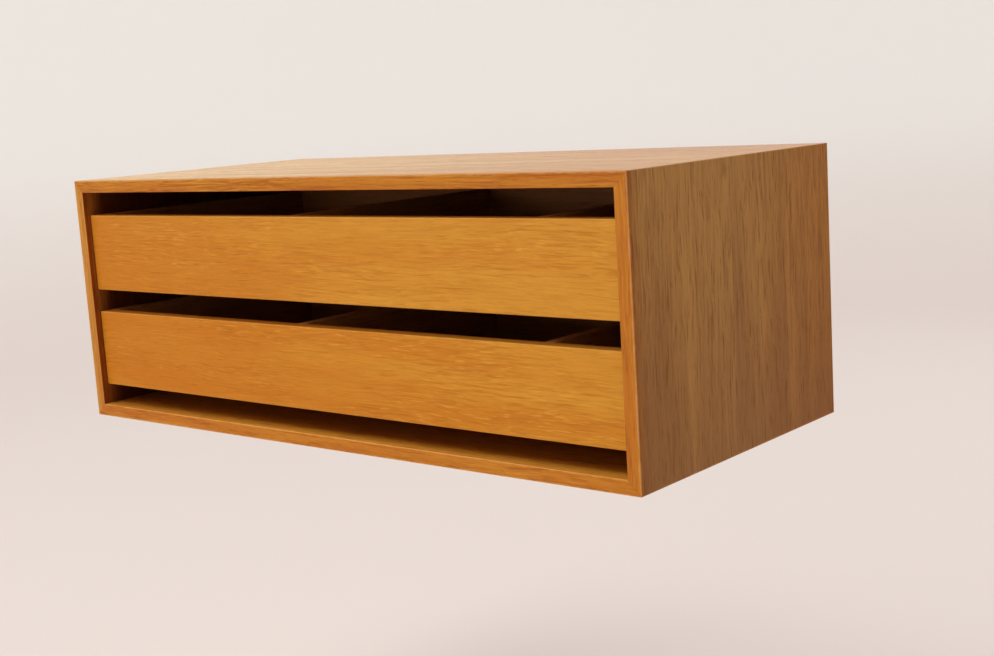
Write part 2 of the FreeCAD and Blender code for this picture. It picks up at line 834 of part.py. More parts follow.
def drawer_front(level_name):
    """The plain front: lapped sockets, a groove for the bottom and two housings."""
    body = new_body(f"{level_name}_drawer_front", drawer_corner(level_name))
    size = (drawer_width, d.front_thickness, front_height)
    board = pad_block(body, "board", (ZERO, ZERO, ZERO), size)
    face_edges = [(X_AXIS, (ZERO, z)) for z in (ZERO, front_height)]
    face_edges += [(Z_AXIS, (x, ZERO)) for x in (ZERO, drawer_width)]
    end_edges = corner_edges(ZERO, ZERO, drawer_width, front_height)
    round_edges(body, "eased_face", board, face_edges + end_edges, d.front_arris_radius)
    cut_tail_sockets(body, front_tails)
    groove_x = d.drawer_side_thickness - d.bottom_groove_depth
    cut_block(
        body, "bottom_groove",
        (groove_x, d.front_thickness - d.bottom_groove_depth, d.bottom_inset),
        (drawer_width - 2 * groove_x, d.bottom_groove_depth, bottom_groove_height),
    )
    cut_partition_housings(body, d.front_thickness - d.partition_housing_depth)
    return body


def drawer_back(level_name):
    """The back, through-dovetailed to the sides and standing on the bottom."""
    body = new_body(f"{level_name}_drawer_back", drawer_corner(level_name))
    size = (drawer_width, d.drawer_back_thickness, front_height - bottom_top)
    pad_block(body, "board", (ZERO, back_inner, bottom_top), size)
    cut_tail_sockets(body, back_tails)
    for side in ("left", "right"):
        cut_runner_groove(body, side)
    cut_partition_housings(body, back_inner)
    pilot_length = d.bottom_screw_length - d.bottom_thickness + d.hole_end_gap
    centres = [(x, bottom_screw_depth) for x in bottom_screw_places]
    bore(body, "bottom_screw_pilots", "XY", centres, hole_radius, bottom_top, pilot_length)
    return body


def drawer_bottom(level_name):
    """Thin plywood slid in from behind, screwed up into the back."""
    body = new_body(f"{level_name}_drawer_bottom", drawer_corner(level_name))
    low_x = d.drawer_side_thickness - d.bottom_groove_depth + d.loose_gap
    low_y = d.front_thickness - d.bottom_groove_depth + d.loose_gap
    low_z = d.bottom_inset + d.loose_gap
    size = (drawer_width - 2 * low_x, drawer_depth - low_y, d.bottom_thickness)
    pad_block(body, "sheet", (low_x, low_y, low_z), size)
    centres = [(x, bottom_screw_depth) for x in bottom_screw_places]
    holes = bore(body, "screw_holes", "XY", centres, hole_radius, low_z, d.bottom_thickness)
    bevel_mouths(body, "countersinks", holes, "XY", hole_radius, low_z, countersink)
    return body


def partition(level_name, name, x):
    """An upright board from front to back, level with the drawer's top."""
    body = new_body(f"{level_name}_drawer_{name}_partition", drawer_corner(level_name))
    low_y = d.front_thickness - d.partition_housing_depth
    length = back_inner + d.partition_housing_depth - low_y
    size = (d.partition_thickness, length, front_height - bottom_top)
    pad_block(body, "board", (x, low_y, bottom_top), size)
    return body


def bottom_screw_spots(level_name):
    """Places of the screws up through the bottom's rear edge."""
    low_z = d.bottom_inset + d.loose_gap
    corner = drawer_corner(level_name)
    return [(moved(corner, (x, bottom_screw_depth, low_z)), (0, 0, -1)) for x in bottom_screw_places]


def make_drawer(level_name, screw):
    """Every piece of one drawer."""
    pieces = [drawer_front(level_name)]
    pieces += [drawer_side(level_name, side) for side in ("left", "right")]
    pieces.append(drawer_back(level_name))
    pieces.append(drawer_bottom(level_name))
    pieces += [partition(level_name, name, x) for name, x in partition_lefts().items()]
    pieces.append(fixing_group(f"{level_name}_drawer_bottom_screws", screw, bottom_screw_spots(level_name)))
    return pieces


def make_case(runner_screw, plate_screw, pin):
    """Every piece that stays on the wall."""
    envelope = sanded_envelope()
    panel_labels = {
        "top": "top_panel",
        "bottom": "bottom_panel",
        "left": "left_side_panel",
        "right": "right_side_panel",
    }
    pieces = [case_panel(side, label, envelope) for side, label in panel_labels.items()]
    pieces += [lipping(side, f"{side}_lipping", envelope) for side in panel_labels]
    pieces += [corner_spline(name) for name in CASE_CORNERS]
    pieces.append(back_panel())
    pieces.append(hanging_rail())
    for side, x in zip(("left", "right"), plate_centres):
        pieces.append(hanger_plate(f"{side}_hanger_plate", x))
    plate_spots = [
        (moved(CASE_CORNER, (x, d.case_depth, z)), (0, 1, 0)) for x, z in plate_screw_spots
    ]
    pieces.append(fixing_group("hanger_screws", plate_screw, plate_spots))
    for level_name in DRAWER_LEVELS:
        pieces += [runner(level_name, side) for side in ("left", "right")]
    pieces.append(fixing_group("runner_screws", runner_screw, runner_screw_spots()))
    back_spots = [
        (moved(CASE_CORNER, (x, d.case_depth, z)), (0, 1, 0))
        for group in pin_spots.values() for x, z in group
    ]
    pieces.append(fixing_group("back_panel_pins", pin, back_spots))
    return pieces


# Checks before anything is written


def check_document(pieces):
    """Stop on a failed object, a cut that removes nothing, or a bad shape."""
    for item in doc.Objects:
        if "Invalid" in item.State or "Error" in item.State:
            raise RuntimeError(f"{item.Name} is in state {item.State}")
        if item.TypeId == "PartDesign::Pocket":
            removed = item.BaseFeature.Shape.Volume - item.Shape.Volume
            if removed <= 0:
                raise RuntimeError(f"{item.Name} cuts nothing")
    for piece in pieces:
        shape = piece.Shape
        if shape.isNull() or not shape.isValid() or not shape.Solids:
            raise RuntimeError(f"{piece.Label} has no valid solid")


def write_pieces(pieces):
    """One STEP file per piece, named after its label."""
    os.makedirs("parts", exist_ok=True)
    for piece in pieces:
        piece.Shape.exportStep(f"parts/{piece.Label}.step")
        box = piece.Shape.BoundBox
        print(
            f"{piece.Label}: {len(piece.Shape.Solids)} solid(s), {piece.Shape.Volume:.0f} mm3,"
            f" x {box.XMin:.2f}..{box.XMax:.2f}, y {box.YMin:.2f}..{box.YMax:.2f},"
            f" z {box.ZMin:.2f}..{box.ZMax:.2f}"
        )


runner_screw = screw_master("runner_screw_master", d.runner_screw_length)
plate_screw = screw_master("plate_screw_master", d.plate_screw_length)
bottom_screw = screw_master("bottom_screw_master", d.bottom_screw_length)
panel_pin = pin_master("panel_pin_master")

pieces = make_case(runner_screw, plate_screw, panel_pin)
for level_name in DRAWER_LEVELS:
    pieces += make_drawer(level_name, bottom_screw)
doc.recompute()
check_document(pieces)
write_pieces(pieces)
print(f"{len(pieces)} pieces written")
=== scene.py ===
import math
from types import SimpleNamespace

import bpy
from mathutils import Matrix, Vector


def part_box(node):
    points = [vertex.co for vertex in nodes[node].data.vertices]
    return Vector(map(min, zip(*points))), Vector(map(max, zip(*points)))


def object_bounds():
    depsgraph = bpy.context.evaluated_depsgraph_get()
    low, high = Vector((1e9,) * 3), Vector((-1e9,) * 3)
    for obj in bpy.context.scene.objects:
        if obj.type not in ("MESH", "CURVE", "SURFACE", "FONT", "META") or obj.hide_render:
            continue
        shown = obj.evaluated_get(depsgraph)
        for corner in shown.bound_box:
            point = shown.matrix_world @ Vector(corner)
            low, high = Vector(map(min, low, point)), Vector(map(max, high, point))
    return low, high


# A wall-hung oak nightstand: its timbers, veneers and metalwork, with studio light and camera.
#
# Metres, in the part's own frame: +X to the right along the front, +Y to the wall, +Z up.

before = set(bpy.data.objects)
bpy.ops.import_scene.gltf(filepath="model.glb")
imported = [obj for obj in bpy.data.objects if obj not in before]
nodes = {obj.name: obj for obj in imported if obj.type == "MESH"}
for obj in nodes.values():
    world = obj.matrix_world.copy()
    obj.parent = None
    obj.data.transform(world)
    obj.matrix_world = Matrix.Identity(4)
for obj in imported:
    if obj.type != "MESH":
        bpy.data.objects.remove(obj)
cad_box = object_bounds()

# Measures

CASE_BOX = cad_box  # at rest nothing stands out of the case
CASE_LOW, CASE_HIGH = CASE_BOX
CASE_MIDDLE = (CASE_LOW + CASE_HIGH) / 2
CASE_HALF_SIZE = (CASE_HIGH - CASE_LOW) / 2
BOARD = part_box("top_panel")[1].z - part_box("top_panel")[0].z
FLOOR_DROP = 0.40  # from the case's underside to the floor
FLOOR_LEVEL = CASE_LOW.z - FLOOR_DROP

CAMERA_PLACE = Vector((0.9619, -1.2034, 0.0995))
CAMERA_HEADING = math.radians(40.18)  # turned to the left from square to the wall
CAMERA_PITCH = math.radians(-9.08)
CAMERA_ROLL = math.radians(-3.61)
CAMERA_LENS = 52.3  # mm, for the sensor's width below
CAMERA_SENSOR = 36.0


def paint(red, green, blue):
    """A colour from its display values, 0 to 255, as the shaders want it."""
    channels = []
    for value in (red, green, blue):
        share = value / 255
        channels.append(share / 12.92 if share <= 0.04045 else ((share + 0.055) / 1.055) ** 2.4)
    return (*channels, 1.0)


WHITE = paint(255, 255, 255)

# Shader trees in short calls

FLOAT = "NodeSocketFloat"
VECTOR = "NodeSocketVector"
NOWHERE = (0.0, 0.0, 0.0)
MIX_FACTOR, MIX_COLOUR_A, MIX_COLOUR_B = 0, 6, 7
MIX_COLOUR_OUT = 2
AXES = "XYZ"
NOISE_MEAN = 0.5


class Graph:
    """One shader tree, with calls that add a node and return the socket that it gives."""

    def __init__(self, tree):
        self.tree = tree

    def add(self, kind, **settings):
        node = self.tree.nodes.new(kind)
        for name, value in settings.items():
            setattr(node, name, value)
        return node

    def feed(self, socket, value):
        """Join a socket to the socket that feeds it, or set its own value."""
        if isinstance(value, bpy.types.NodeSocket):
            self.tree.links.new(value, socket)
        else:
            socket.default_value = value

    def maths(self, operation, *values, clamp=False):
        node = self.add("ShaderNodeMath", operation=operation, use_clamp=clamp)
        for socket, value in zip(node.inputs, values):
            self.feed(socket, value)
        return node.outputs[0]

    def vector(self, operation, *values):
        node = self.add("ShaderNodeVectorMath", operation=operation)
        for socket, value in zip(node.inputs, values):
            self.feed(socket, value)
        return node.outputs[0]

    def split(self, vector):
        node = self.add("ShaderNodeSeparateXYZ")
        self.feed(node.inputs[0], vector)
        return list(node.outputs)

    def join(self, x, y, z):
        node = self.add("ShaderNodeCombineXYZ")
        for socket, value in zip(node.inputs, (x, y, z)):
            self.feed(socket, value)
        return node.outputs[0]

    def ramp(self, value, low, high, start=0.0, end=1.0):
        """A smooth step from start to end as the value goes from low to high."""
        node = self.add("ShaderNodeMapRange", interpolation_type="SMOOTHSTEP")
        for socket, setting in zip(node.inputs, (value, low, high, start, end)):
            self.feed(socket, setting)
        return node.outputs[0]

    def mix(self, share, first, second, blend="MIX"):
        node = self.add("ShaderNodeMix", data_type="RGBA", blend_type=blend)
        self.feed(node.inputs[MIX_FACTOR], share)
        self.feed(node.inputs[MIX_COLOUR_A], first)
        self.feed(node.inputs[MIX_COLOUR_B], second)
        return node.outputs[MIX_COLOUR_OUT]

    def mix_shaders(self, share, first, second):
        node = self.add("ShaderNodeMixShader")
        for socket, value in zip(node.inputs, (share, first, second)):
            self.feed(socket, value)
        return node.outputs["Shader"]

    def stain(self, share, colour, tint):
        """The colour under a share of a thin tint."""
        return self.mix(share, colour, tint, blend="MULTIPLY")

    def noise(self, place, stretch, detail=2.0, roughness=0.5):
        """Noise, 0 to 1, whose cells are stretched by counts per metre on each axis."""
        scaled = self.vector("MULTIPLY", place, stretch)
        node = self.add("ShaderNodeTexNoise")
        self.feed(node.inputs["Vector"], scaled)
        self.feed(node.inputs["Scale"], 1.0)
        self.feed(node.inputs["Detail"], detail)
        self.feed(node.inputs["Roughness"], roughness)
        return node.outputs[0]

    def cells(self, place, stretch):
        """Distance, in cells, from the nearest of many scattered points."""
        scaled = self.vector("MULTIPLY", place, stretch)
        node = self.add("ShaderNodeTexVoronoi", feature="F1")
        self.feed(node.inputs["Vector"], scaled)
        self.feed(node.inputs["Scale"], 1.0)
        return node.outputs["Distance"]

    def relief(self, height, strength, depth):
        """The normals of a surface with fine relief."""
        node = self.add("ShaderNodeBump")
        self.feed(node.inputs["Strength"], strength)
        self.feed(node.inputs["Distance"], depth)
        self.feed(node.inputs["Height"], height)
        return node.outputs["Normal"]

    def group(self, group, **inputs):
        """A copy of a group, whose inputs are named with underscores for spaces."""
        node = self.add("ShaderNodeGroup", node_tree=group)
        for name, value in inputs.items():
            self.feed(node.inputs[name.replace("_", " ")], value)
        return node.outputs


def new_group(name, inputs, outputs):
    """An empty group with named sockets. Returns it, its graph, its inputs and its exit."""
    group = bpy.data.node_groups.new(name, "ShaderNodeTree")
    for label, (kind, value) in inputs.items():
        socket = group.interface.new_socket(label, in_out="INPUT", socket_type=kind)
        socket.default_value = value
    for label in outputs:
        group.interface.new_socket(label, in_out="OUTPUT", socket_type=FLOAT)
    graph = Graph(group)
    entry = graph.add("NodeGroupInput").outputs
    leave = graph.add("NodeGroupOutput").inputs
    return group, graph, entry, leave


# Effects that several finishes share

# The grain's marks. Counts are cells per metre along, across and into the board, and a span
# gives the noise values at which a mark starts to show and is full.
SWAY_COUNT = (9.0, 13.0, 13.0)
RIPPLE_COUNT = (48.0, 70.0, 70.0)
RIPPLE_SHARE = 0.15  # of the sway
BAND_SPAN = (0.22, 0.78)
FIGURE_COUNT = (5.0, 24.0, 24.0)
FIGURE_SPAN = (0.36, 0.64)
RING_WANDER = 5.0  # rings by which the bands push the rings about
SPRING_SPAN = (0.0, 0.15)  # shares of a ring over which its open wood starts
SUMMER_SPAN = (0.25, 0.8)  # and ends
STREAK_SPAN = (0.42, 0.68)
CALM_STREAKS = 0.45  # share of the streaks that is left where the figure is calm
FLECK_SPAN = (0.54, 0.74)
CALM_FLECKS = 0.15
DASH_COUNT = (34.0, 640.0, 640.0)
DASH_SPAN = (0.60, 0.76)
DASHES_IN_RINGS = 0.06  # how much more readily the open wood has long pores
PIN_COUNT = (85.0, 1500.0, 1500.0)
PIN_SPAN = (-0.17, -0.02)
PINS_IN_RINGS = 0.2  # and short ones
PIN_STRENGTH = 0.8
FIBRE_COUNT = (22.0, 1700.0, 1700.0)
FIBRE_RELIEF = 0.25  # height of the fibres as a share of the pores' depth


def grain_group():
    """Timber as a solid pattern: X runs along the grain, Y across it and Z into the board."""
    group, graph, entry, leave = new_group(
        "timber_grain",
        {
            "Place": (VECTOR, NOWHERE),
            "Pith": (VECTOR, (0.0, 0.0, -0.08)),
            "Ring Width": (FLOAT, 0.0025),
            "Taper": (FLOAT, 0.05),
            "Waver": (FLOAT, 0.010),
            "Tone Lean": (FLOAT, 0.0),
            "Figure Lean": (FLOAT, 0.0),
            "Band Count": (VECTOR, (1.6, 48.0, 48.0)),
            "Streak Count": (VECTOR, (11.0, 330.0, 330.0)),
            "Fleck Count": (VECTOR, (60.0, 760.0, 760.0)),
        },
        ("Bands", "Rings", "Streaks", "Pores", "Flecks", "Fibre", "Height"),
    )
    sway = graph.noise(entry["Place"], SWAY_COUNT)
    ripple = graph.noise(entry["Place"], RIPPLE_COUNT, detail=1.0)
    sway = graph.maths("ADD", sway, graph.maths("MULTIPLY", ripple, RIPPLE_SHARE))
    mean_sway = NOISE_MEAN * (1 + RIPPLE_SHARE)
    sway = graph.maths("MULTIPLY", graph.maths("SUBTRACT", sway, mean_sway), entry["Waver"])
    place = graph.vector("ADD", entry["Place"], graph.join(0.0, sway, sway))
    x, y, z = graph.split(graph.vector("SUBTRACT", place, entry["Pith"]))

    tone_lean = graph.maths("MULTIPLY", x, entry["Tone Lean"])
    bands = graph.noise(place, entry["Band Count"])
    graph.feed(leave["Bands"], graph.ramp(graph.maths("ADD", bands, tone_lean), *BAND_SPAN))
    figure_lean = graph.maths("MULTIPLY", x, entry["Figure Lean"])
    figure = graph.noise(place, FIGURE_COUNT)
    figure = graph.ramp(graph.maths("ADD", figure, figure_lean), *FIGURE_SPAN)

    depth = graph.maths("ADD", z, graph.maths("MULTIPLY", x, entry["Taper"]))
    across_squared = graph.maths("MULTIPLY", y, y)
    square = graph.maths("ADD", across_squared, graph.maths("MULTIPLY", depth, depth))
    years = graph.maths("DIVIDE", graph.maths("SQRT", square), entry["Ring Width"])
    years = graph.maths("ADD", years, graph.maths("MULTIPLY", bands, RING_WANDER))
    season = graph.maths("FRACT", years)
    spring = graph.ramp(season, *SPRING_SPAN)
    summer = graph.ramp(season, *SUMMER_SPAN, start=1.0, end=0.0)
    rings = graph.maths("MULTIPLY", spring, summer)
    graph.feed(leave["Rings"], rings)

    streaks = graph.noise(place, entry["Streak Count"], detail=3.0, roughness=0.6)
    streaks = graph.ramp(streaks, *STREAK_SPAN)
    lively = graph.ramp(figure, 0.0, 1.0, start=CALM_STREAKS)
    graph.feed(leave["Streaks"], graph.maths("MULTIPLY", streaks, lively))

    dashes = graph.noise(place, DASH_COUNT, detail=1.0)
    dashes = graph.maths("ADD", dashes, graph.maths("MULTIPLY", rings, DASHES_IN_RINGS))
    dashes = graph.ramp(dashes, *DASH_SPAN)
    pins = graph.cells(place, PIN_COUNT)
    pins = graph.maths("SUBTRACT", graph.maths("MULTIPLY", rings, PINS_IN_RINGS), pins)
    pins = graph.ramp(pins, *PIN_SPAN, end=PIN_STRENGTH)
    pores = graph.maths("MAXIMUM", dashes, pins)
    graph.feed(leave["Pores"], pores)

    flecks = graph.noise(place, entry["Fleck Count"], roughness=0.4)
    flecks = graph.ramp(flecks, *FLECK_SPAN)
    lively = graph.ramp(figure, 0.0, 1.0, start=CALM_FLECKS)
    graph.feed(leave["Flecks"], graph.maths("MULTIPLY", flecks, lively))

    fibre = graph.noise(place, FIBRE_COUNT, detail=3.0, roughness=0.65)
    graph.feed(leave["Fibre"], fibre)
    ridges = graph.maths("MULTIPLY", fibre, FIBRE_RELIEF)
    graph.feed(leave["Height"], graph.maths("SUBTRACT", ridges, pores))
    return group


WEAR_COUNT = (90.0, 90.0, 90.0)
WEAR_SPAN = (0.3, 0.7)
WEAR_SPREAD = (0.55, 1.45)  # least and greatest width of the wear, as shares of its mean
WEAR_FULL = 0.25  # share of the width over which an edge is worn right through


def arris_group():
    """Edge wear and a painted highlight along the twelve edges of a box: 1 on an edge, 0 past the
    width, uneven along it.
    """
    group, graph, entry, leave = new_group(
        "arris_wear_highlight",
        {
            "Place": (VECTOR, NOWHERE),
            "Low": (VECTOR, NOWHERE),
            "High": (VECTOR, NOWHERE),
            "Width": (FLOAT, 0.0015),
        },
        ("Wear_Highlight",),
    )
    from_low = graph.vector("SUBTRACT", entry["Place"], entry["Low"])
    from_high = graph.vector("SUBTRACT", entry["High"], entry["Place"])
    a, b, c = graph.split(graph.vector("MINIMUM", from_low, from_high))
    larger = graph.maths("MINIMUM", graph.maths("MAXIMUM", a, b), c)
    second_least = graph.maths("MAXIMUM", graph.maths("MINIMUM", a, b), larger)
    rough_edge = graph.noise(entry["Place"], WEAR_COUNT, detail=3.0)
    spread = graph.ramp(rough_edge, *WEAR_SPAN, *WEAR_SPREAD)
    width = graph.maths("MULTIPLY", entry["Width"], spread)
    reach = graph.maths("DIVIDE", second_least, width)
    graph.feed(leave["Wear_Highlight"], graph.ramp(reach, WEAR_FULL, 1.0, start=1.0, end=0.0))
    return group


INNER_FACE_SPAN = (0.965, 0.995)  # shares of a board's thickness, where its inner face starts
JOINT_LINE = 0.0004  # how far a mitre's line shows to each side


def open_case_group():
    """What a mitred open case has: its corners' joint lines, its inner faces, and its depth."""
    group, graph, entry, leave = new_group(
        "open_case",
        {
            "Place": (VECTOR, NOWHERE),
            "Middle": (VECTOR, NOWHERE),
            "Half Size": (VECTOR, NOWHERE),
            "Board": (FLOAT, 0.012),
            "Line": (FLOAT, JOINT_LINE),
        },
        ("Mitre", "Inside", "Depth"),
    )
    from_middle = graph.vector("SUBTRACT", entry["Place"], entry["Middle"])
    offset = graph.vector("ABSOLUTE", from_middle)
    in_x, _, in_z = graph.split(graph.vector("SUBTRACT", entry["Half Size"], offset))
    off_line = graph.maths("ABSOLUTE", graph.maths("SUBTRACT", in_x, in_z))
    graph.feed(leave["Mitre"], graph.ramp(off_line, 0.0, entry["Line"], start=1.0, end=0.0))
    reach = graph.maths("DIVIDE", graph.maths("MINIMUM", in_x, in_z), entry["Board"])
    graph.feed(leave["Inside"], graph.ramp(reach, *INNER_FACE_SPAN))
    _, from_front, _ = graph.split(graph.vector("ADD", from_middle, entry["Half Size"]))
    graph.feed(leave["Depth"], from_front)
    return group


SHEEN_COUNT = (14.0, 14.0, 14.0)
DRYNESS = 0.25  # how much rougher a dry place is


def sheen_group():
    """Roughness of an oiled surface: drier in the pores and at worn edges, and uneven all over."""
    group, graph, entry, leave = new_group(
        "oiled_sheen",
        {
            "Place": (VECTOR, NOWHERE),
            "Roughness": (FLOAT, 0.42),
            "Variation": (FLOAT, 0.10),
            "Dry": (FLOAT, 0.0),
        },
        ("Roughness",),
    )
    cloud = graph.noise(entry["Place"], SHEEN_COUNT, detail=4.0, roughness=0.6)
    sway = graph.maths("SUBTRACT", cloud, NOISE_MEAN)
    sway = graph.maths("MULTIPLY", sway, entry["Variation"])
    dry = graph.maths("MULTIPLY", entry["Dry"], DRYNESS)
    rough = graph.maths("ADD", graph.maths("ADD", entry["Roughness"], sway), dry, clamp=True)
    graph.feed(leave["Roughness"], rough)
    return group


FACING_SPAN = (0.5, 0.95)  # cosines of a face's angle to the axis: turned away, and facing


def facing_group():
    """Which faces of a board look along an axis, either way: 1 on them, and 0 on the others."""
    group, graph, entry, leave = new_group(
        "facing", {"Normal": (VECTOR, NOWHERE), "Axis": (VECTOR, (1.0, 0.0, 0.0))}, ("Facing",)
    )
    node = graph.add("ShaderNodeVectorMath", operation="DOT_PRODUCT")
    graph.feed(node.inputs[0], entry["Normal"])
    graph.feed(node.inputs[1], entry["Axis"])
    facing = graph.maths("ABSOLUTE", node.outputs["Value"])
    graph.feed(leave["Facing"], graph.ramp(facing, *FACING_SPAN))
    return group


PLY_SPAN = (0.42, 0.58)  # where one ply gives way to the next, between their middles


def plies_group():
    """The crossed plies on the edge of a thin sheet: 1 on a dark ply and 0 on a pale one."""
    group, graph, entry, leave = new_group(
        "plies",
        {"Depth": (FLOAT, 0.0), "Thickness": (FLOAT, 0.004), "Count": (FLOAT, 3.0)},
        ("Dark",),
    )
    share = graph.maths("DIVIDE", entry["Depth"], entry["Thickness"])
    wave = graph.maths("PINGPONG", graph.maths("MULTIPLY", share, entry["Count"]), 1.0)
    graph.feed(leave["Dark"], graph.ramp(wave, *PLY_SPAN))
    return group


TIMBER_GRAIN = grain_group()
ARRIS_WEAR_HIGHLIGHT = arris_group()
OPEN_CASE = open_case_group()
OILED_SHEEN = sheen_group()
FACING = facing_group()
PLIES = plies_group()


# Timbers

# The tones and figure of a finished timber. Counts are per metre, along and across the grain.
TIMBER = SimpleNamespace(
    name="timber",
    pale=paint(190, 124, 62),
    deep=paint(172, 105, 48),
    streak=paint(150, 89, 38),
    pore=paint(106, 58, 26),
    fleck=paint(202, 142, 82),
    # paler worn arrises, which also paint the highlight that an eased edge would catch
    worn=paint(208, 154, 98),
    inside=WHITE,  # painted shade on a case's inner faces near its front
    inner=WHITE,  # the same painted shade, further in
    handled=WHITE,  # tint of a case's outer faces next to its front
    edge=WHITE,  # tint of a board's long edges; on the drawer fronts it is painted shade
    unfaded=WHITE,  # painted warm shade next to the wall
    ring_width=0.0034,
    taper=0.02,
    waver=0.010,
    tone_lean=0.0,  # how much paler the timber gets along the board, per metre
    figure_lean=0.0,  # how much livelier its streaks and flecks get, per metre
    bands=(2.0, 50.0),
    streaks=(11.0, 330.0),
    flecks=(60.0, 760.0),
    ring_share=0.10,
    streak_share=0.50,
    pore_share=0.35,
    fleck_share=0.20,
    wear_share=0.60,
    roughness=0.50,
    polish=0.0,
)


def timber_like(timber, **traits):
    """A timber that differs from another in some of its traits."""
    return SimpleNamespace(**{**vars(timber), **traits})


GOLDEN_OAK = timber_like(
    TIMBER,
    name="golden_oak",
    pale=paint(205, 142, 43),
    deep=paint(193, 118, 20),
    streak=paint(172, 98, 10),
    pore=paint(146, 82, 12),
    fleck=paint(226, 162, 58),
    worn=paint(214, 164, 84),
    # painted shade: the fronts' top and bottom faces, in the shaded gaps, are painted darker
    edge=paint(205, 190, 170),
    taper=0.012,
    waver=0.009,
    tone_lean=0.6,
    figure_lean=0.25,
    bands=(3.0, 30.0),
    streaks=(28.0, 430.0),
    flecks=(55.0, 620.0),
    ring_share=0.08,
    streak_share=0.50,
    pore_share=0.20,
    fleck_share=0.42,
    wear_share=0.20,
    polish=0.04,
)

AMBER_OAK = timber_like(
    GOLDEN_OAK,
    name="amber_oak",
    pale=paint(205, 141, 39),
    deep=paint(192, 113, 8),
    tone_lean=0.4,
)

BROWN_OAK = timber_like(
    TIMBER,
    name="brown_oak",
    pale=paint(194, 141, 70),
    deep=paint(164, 110, 50),
    streak=paint(140, 86, 34),
    pore=paint(110, 60, 22),
    fleck=paint(194, 144, 76),
    worn=paint(212, 158, 96),
    # painted shade on the case's inner faces, lighter near the front and darker further in
    inside=paint(228, 186, 140),
    inner=paint(176, 130, 92),
    # a darker, greyer tint on the outer faces next to the front
    handled=paint(236, 220, 190),
    # painted warm shade next to the wall
    unfaded=paint(244, 217, 118),
    ring_width=0.0042,
    taper=0.05,
    # painted light from above: on the side panels, whose grain runs upward, this lean makes them
    # paler at the top and darker at the bottom
    tone_lean=2.0,
    bands=(1.6, 44.0),
    streaks=(20.0, 260.0),
    streak_share=0.50,
    pore_share=0.50,
    fleck_share=0.12,
    polish=0.12,
)

EDGE_OAK = timber_like(
    TIMBER,
    name="edge_oak",
    pale=paint(198, 130, 32),
    deep=paint(182, 104, 18),
    streak=paint(158, 80, 14),
    pore=paint(122, 56, 12),
    fleck=paint(214, 148, 58),
    worn=paint(214, 162, 108),
    # painted shade on the lippings' inner faces
    inside=paint(200, 140, 90),
    inner=paint(200, 140, 90),
    ring_width=0.0036,
    waver=0.008,
    bands=(4.0, 110.0),
    streaks=(16.0, 420.0),
    flecks=(50.0, 760.0),
    ring_share=0.25,
    streak_share=0.55,
    pore_share=0.40,
    fleck_share=0.30,
    wear_share=0.60,
    polish=0.04,
)

DRAWER_OAK = timber_like(
    TIMBER,
    name="drawer_oak",
    ring_width=0.0030,
    waver=0.008,
    ring_share=0.25,
    streak_share=0.45,
    pore_share=0.40,
    wear_share=0.10,
)

# The drawer backs: a darker copy of the drawer oak, painted shade where they stand deep behind the
# fronts.
SHADED_DRAWER_OAK = timber_like(
    DRAWER_OAK,
    name="shaded_drawer_oak",
    pale=paint(166, 104, 50),
    deep=paint(150, 88, 38),
    streak=paint(130, 74, 30),
    fleck=paint(176, 120, 66),
)

BEECH = timber_like(
    TIMBER,
    name="beech",
    pale=paint(206, 158, 108),
    deep=paint(192, 140, 90),
    streak=paint(182, 128, 80),
    pore=paint(160, 106, 62),
    fleck=paint(172, 118, 72),
    worn=paint(214, 174, 130),
    ring_width=0.0040,
    taper=0.01,
    waver=0.006,
    flecks=(90.0, 620.0),
    ring_share=0.12,
    streak_share=0.25,
    pore_share=0.10,
    fleck_share=0.45,
)

# How a board is sawn: from its middle to the log's centre, along, across and into it.
FLAT_SAWN = (0.0, 0.0, -0.07)
RIFT_SAWN = (0.0, -0.21, -0.12)

PORE_DEPTH = 0.00012
PORE_RELIEF = 0.35  # strength of the pores' relief
FIBRE_SPAN = (0.3, 0.7)
FIBRE_TONES = (0.93, 1.06)  # how dark and how pale single fibres are
TIMBER_SPECULAR = 0.2
POLISH_ROUGHNESS = 0.2
POLISH_IOR = 1.3
LOG_STEP = Vector((0.731, 0.417, 0.233))  # from one board's place in the log to the next's
ARRIS = 0.0015  # how far the paler band along an arris reaches from an edge: partly worn, partly a painted highlight
INNER_SHADE_DEPTH = (0.006, 0.026)  # from the case's front: where the painted shade on its inner faces starts to darken, and ends
FRONT_TINT_DEPTH = (0.004, 0.020)  # where the tint of the outer faces starts to fade, and ends
WALL_SHADE_DEPTH = (0.13, 0.34)  # where the painted warm shade towards the wall starts, and is full
END_DARKENING = 0.45
JOINT_DARKENING = 0.38


def new_material(name):
    """A material with its graph, its Principled shader's inputs and its texture places."""
    material = bpy.data.materials.new(name)
    material.use_nodes = True
    graph = Graph(material.node_tree)
    shader = material.node_tree.nodes["Principled BSDF"]
    places = graph.add("ShaderNodeTexCoord").outputs
    return material, graph, shader.inputs, places


def unit(wanted):
    """The direction of one of the part's axes."""
    return [1.0 if axis == wanted else 0.0 for axis in AXES]


def facing(graph, places, axis):
    """The mask of the faces that look along an axis."""
    return graph.group(FACING, Normal=places["Normal"], Axis=unit(axis))["Facing"]


def board_grain(graph, position, node, timber, axes, number, cut):
    """The grain's masks for one board. axes are the part's axes along, across and into it."""
    split = dict(zip(AXES, graph.split(position)))
    offset = LOG_STEP * number  # far enough that no two boards look alike
    low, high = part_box(node)
    middle = (low + high) / 2
    turned_middle = Vector([middle[AXES.index(axis)] for axis in axes])
    counts = {
        f"{mark}_Count": (along, across, across)
        for mark, (along, across) in (
            ("Band", timber.bands),
            ("Streak", timber.streaks),
            ("Fleck", timber.flecks),
        )
    }
    return graph.group(
        TIMBER_GRAIN,
        Place=graph.vector("ADD", graph.join(*[split[axis] for axis in axes]), offset),
        Pith=turned_middle + offset + Vector(cut),
        Ring_Width=timber.ring_width,
        Taper=timber.taper,
        Waver=timber.waver,
        Tone_Lean=timber.tone_lean,
        Figure_Lean=timber.figure_lean,
        **counts,
    )


